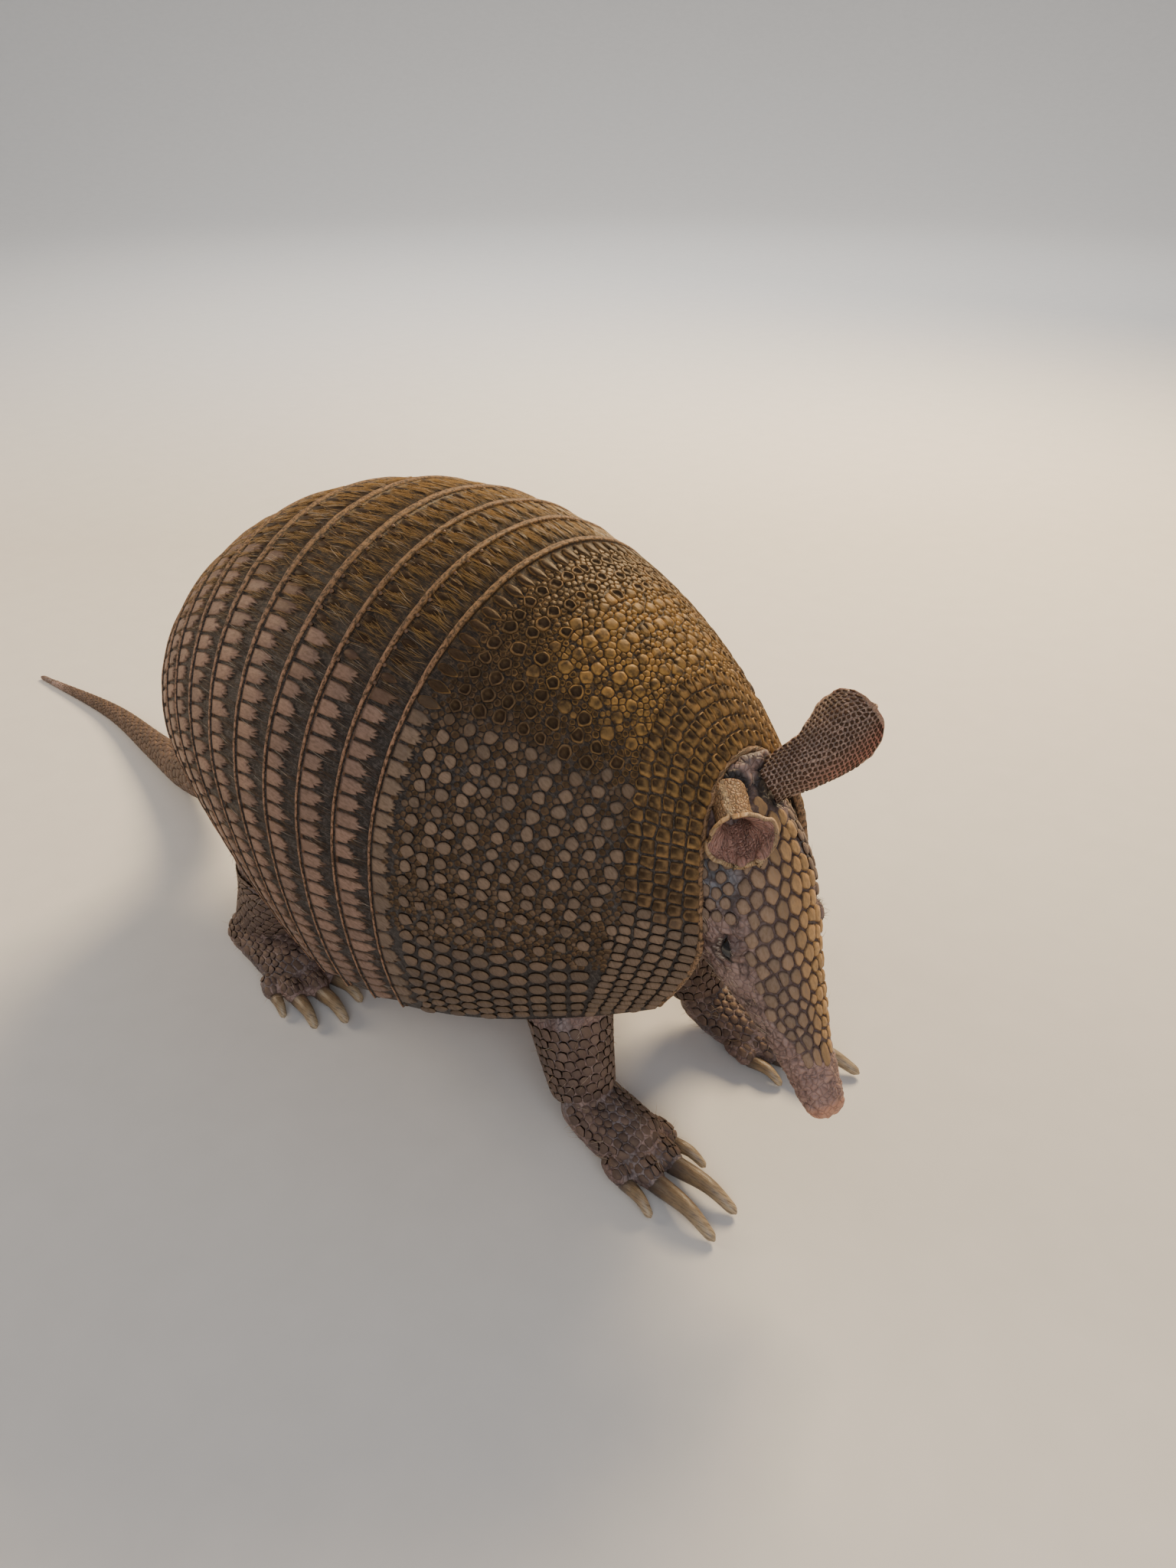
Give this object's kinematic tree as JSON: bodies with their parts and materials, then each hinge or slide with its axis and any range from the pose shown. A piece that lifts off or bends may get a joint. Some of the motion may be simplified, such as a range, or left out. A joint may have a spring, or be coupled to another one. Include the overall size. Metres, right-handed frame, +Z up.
{
  "type": "nine-banded armadillo figure",
  "caption": "Life-size standing armadillo with a banded shell, lowered plated head, leathery ears, clawed feet and a ringed tail laid on the floor.",
  "frame": {"origin": "Centre of the bounding box at floor level, Z = 0.", "axes": "+X towards the head, +Y to the animal's left, +Z up."},
  "size_m": [0.544, 0.158, 0.193],
  "materials": {
    "shield": "dry horny scales over bone, dark brown with paler rims",
    "band": "dark horn with cream scutes and a pink free edge",
    "skin": "wrinkled pinkish grey skin, matt",
    "ear": "leathery, pebbled with dark dots",
    "eye": "wet and dark",
    "claw": "yellow-grey horn, worn at the tip",
    "hair": "sparse coarse hair"
  },
  "bodies": {
    "root": {"scapular_shield": "shield", "band_1": "band", "band_2": "band", "band_3": "band", "band_4": "band", "band_5": "band", "band_6": "band", "band_7": "band", "band_8": "band", "band_9": "band", "pelvic_shield": "shield", "trunk": "skin", "neck": "skin", "head": "skin", "eye_right": "eye", "ear_right": "ear", "eye_left": "eye", "ear_left": "ear", "foot_front_right": "skin", "leg_front_right": "skin", "claw_front_right_1": "claw", "claw_front_right_2": "claw", "claw_front_right_3": "claw", "claw_front_right_4": "claw", "foot_front_left": "skin", "leg_front_left": "skin", "claw_front_left_1": "claw", "claw_front_left_2": "claw", "claw_front_left_3": "claw", "claw_front_left_4": "claw", "foot_hind_right": "skin", "leg_hind_right": "skin", "claw_hind_right_1": "claw", "claw_hind_right_2": "claw", "claw_hind_right_3": "claw", "claw_hind_right_4": "claw", "claw_hind_right_5": "claw", "foot_hind_left": "skin", "leg_hind_left": "skin", "claw_hind_left_1": "claw", "claw_hind_left_2": "claw", "claw_hind_left_3": "claw", "claw_hind_left_4": "claw", "claw_hind_left_5": "claw", "tail_1": "skin", "tail_2": "skin", "tail_3": "skin", "tail_4": "skin", "tail_5": "skin"}
  },
  "joints": []
}
